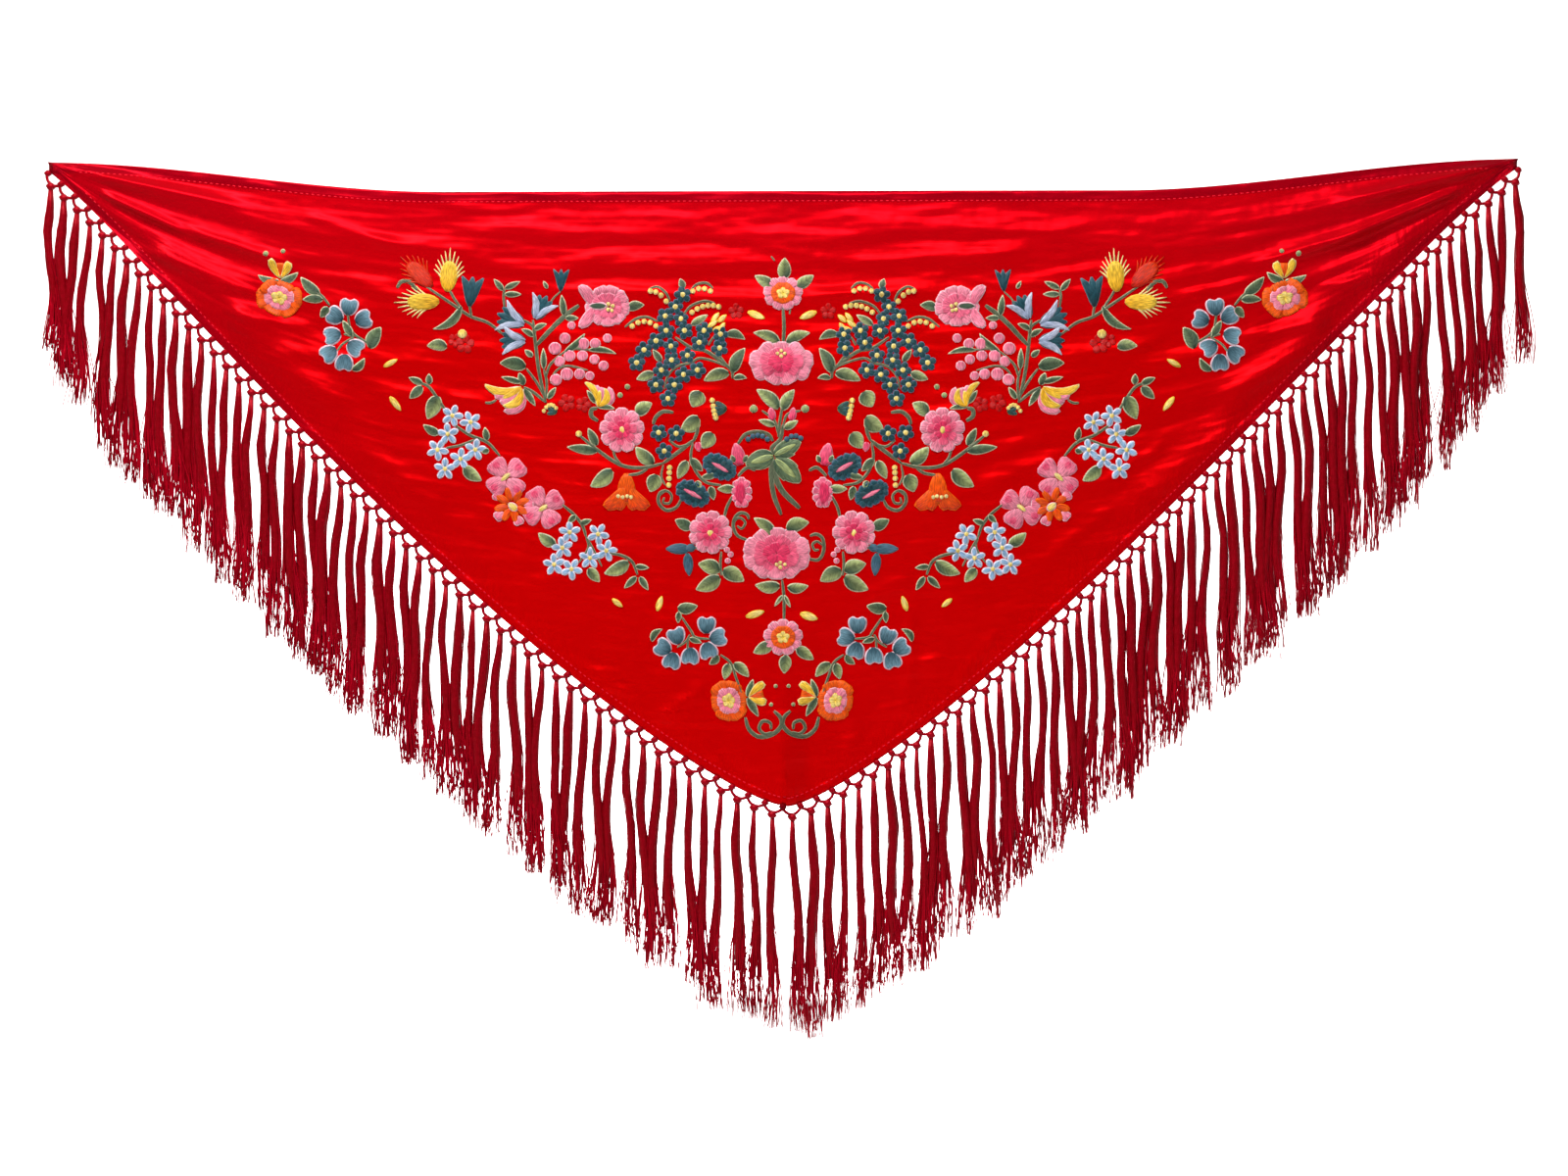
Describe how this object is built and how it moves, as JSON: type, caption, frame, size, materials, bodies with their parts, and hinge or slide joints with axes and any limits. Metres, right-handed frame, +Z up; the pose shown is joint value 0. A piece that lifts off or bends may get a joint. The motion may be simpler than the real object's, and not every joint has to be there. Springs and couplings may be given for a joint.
{
  "type": "flamenco shawl",
  "caption": "Triangular satin shawl with floral embroidery and a long fringe knotted to its short edges, held up and spread out by its upper corners.",
  "frame": {"origin": "the top of the held left corner, on the front of the cloth", "axes": "+X towards the held right corner, +Y from the embroidered front to the back, +Z up as the shawl hangs"},
  "size_m": [1.6099, 0.0233, 0.9545],
  "materials": {
    "satin": "glossy red satin weave, embroidered in coloured silk floss",
    "fringe_silk": "twisted dark red silk yarn with frayed ends"
  },
  "bodies": {
    "root": {"satin_panel": "satin", "top_hem": "satin", "left_hem": "satin", "right_hem": "satin", "left_fringe": "fringe_silk", "right_fringe": "fringe_silk"}
  },
  "joints": []
}
